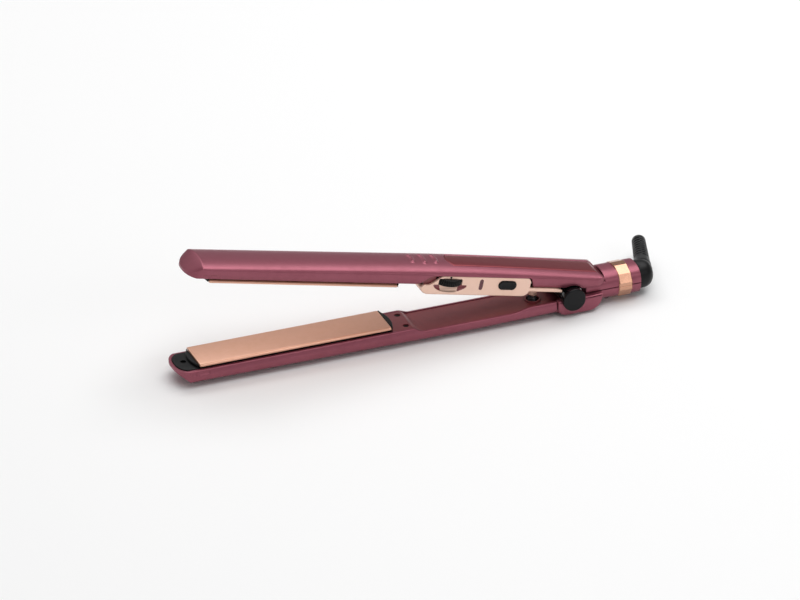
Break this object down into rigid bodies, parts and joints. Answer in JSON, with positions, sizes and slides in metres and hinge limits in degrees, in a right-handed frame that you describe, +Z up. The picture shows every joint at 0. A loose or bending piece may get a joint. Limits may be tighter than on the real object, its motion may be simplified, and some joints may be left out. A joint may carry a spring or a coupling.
{
  "type": "hair straightener",
  "caption": "Slim hinged flat iron with long floating coated plates, handle controls, spring-opened arms and a swivelling angled cable exit.",
  "frame": {"origin": "centre of the flat underside of the lower arm, on the surface it rests on", "axes": "+X from the tip towards the cable exit, +Z up, -Y the side with the controls"},
  "size_m": [0.3179, 0.0578, 0.081],
  "materials": {
    "burgundy_shell": "satin pearl burgundy",
    "burgundy_inset": "satin dark burgundy",
    "burgundy_inner": "fine matt texture",
    "coated_plate": "satin rose-gold ceramic coating",
    "rose_gold_panel": "satin rose gold",
    "rose_gold_trim": "polished rose gold",
    "black_plastic": "fine matt texture",
    "black_gloss": "gloss",
    "black_rubber": "matt",
    "silicone": "matt",
    "ceramic": "smooth",
    "spring_steel": "brushed",
    "dark_screws": "blackened",
    "brass": "plain",
    "green_board": "solder resist",
    "white_leads": "plain",
    "dark_window": "gloss, tinted"
  },
  "bodies": {
    "lower_arm": {"lower_shell": "burgundy_shell", "lower_inner_cover": "burgundy_inner", "lower_cover_screws": "dark_screws", "lower_tip_insert": "black_plastic", "lower_tip_screw": "dark_screws", "lower_plate_carrier": "black_plastic", "lower_end_bar": "black_plastic", "lower_cushions": "silicone", "lower_leads": "white_leads", "rubber_foot": "black_rubber", "hinge_yoke": "burgundy_shell", "hinge_pin": "spring_steel", "hinge_cap_near": "black_gloss", "hinge_cap_far": "black_gloss", "spring_cup": "burgundy_inner", "opening_spring": "spring_steel", "tail_lower_shell": "burgundy_shell", "tail_upper_shell": "burgundy_shell", "tail_screws": "dark_screws", "trim_ring": "rose_gold_trim", "swivel_bush": "black_plastic", "brush_block": "black_plastic"},
    "upper_arm": {"upper_shell": "burgundy_shell", "handle_inset": "burgundy_inset", "upper_end_cover": "burgundy_inner", "upper_cover_screws": "dark_screws", "upper_tip_insert": "black_plastic", "upper_tip_screw": "dark_screws", "upper_plate_carrier": "black_plastic", "upper_end_bar": "black_plastic", "upper_cushions": "silicone", "upper_leads": "white_leads", "control_panel": "rose_gold_panel", "pocket_liner": "burgundy_inner", "circuit_board": "green_board", "dial_potentiometer": "black_plastic", "button_switch": "black_plastic", "indicator_led": "white_leads", "light_window": "dark_window", "hinge_barrel": "black_plastic"},
    "lower_plate_assembly": {"lower_plate": "coated_plate", "lower_heater": "ceramic", "lower_heater_clip": "spring_steel", "thermal_fuse": "ceramic"},
    "upper_plate_assembly": {"upper_plate": "coated_plate", "upper_heater": "ceramic", "upper_heater_clip": "spring_steel", "thermistor": "ceramic"},
    "dial": {"temperature_dial": "black_plastic"},
    "button": {"power_button": "black_gloss"},
    "swivel": {"swivel_boot": "black_plastic", "strain_relief": "black_rubber", "swivel_hub": "black_plastic", "slip_rings": "brass"}
  },
  "joints": [
    {"name": "arm_hinge", "type": "hinge", "parent": "lower_arm", "child": "upper_arm", "pos_m": [0.14875, 0, 0.0119], "axis": [0, -1, 0], "range_deg": [0, 12.8], "stiffness_Nm_per_rad": 0.8, "springref_deg": -20.05, "deforming": ["opening_spring"]},
    {"name": "lower_plate_float", "type": "slide", "parent": "lower_arm", "child": "lower_plate_assembly", "axis": [0, 0, -1], "range_m": [0, 0.0008], "stiffness_N_per_m": 4000, "springref_m": -0.0006, "deforming": ["lower_cushions"]},
    {"name": "upper_plate_float", "type": "slide", "parent": "upper_arm", "child": "upper_plate_assembly", "axis": [0.2215, 0, 0.9751], "range_m": [0, 0.0008], "stiffness_N_per_m": 4000, "springref_m": -0.0006, "deforming": ["upper_cushions"]},
    {"name": "dial_turn", "type": "hinge", "parent": "upper_arm", "child": "dial", "pos_m": [0.07027, -0.0072, 0.03794], "axis": [0.2215, 0, 0.9751], "range_deg": [-135, 135]},
    {"name": "button_press", "type": "slide", "parent": "upper_arm", "child": "button", "axis": [0, 1, 0], "range_m": [0, 0.0008], "stiffness_N_per_m": 800, "springref_m": -0.0006},
    {"name": "cable_swivel", "type": "hinge", "parent": "lower_arm", "child": "swivel", "pos_m": [0.20025, 0, 0.0115], "axis": [1, 0, 0], "continuous": true}
  ]
}
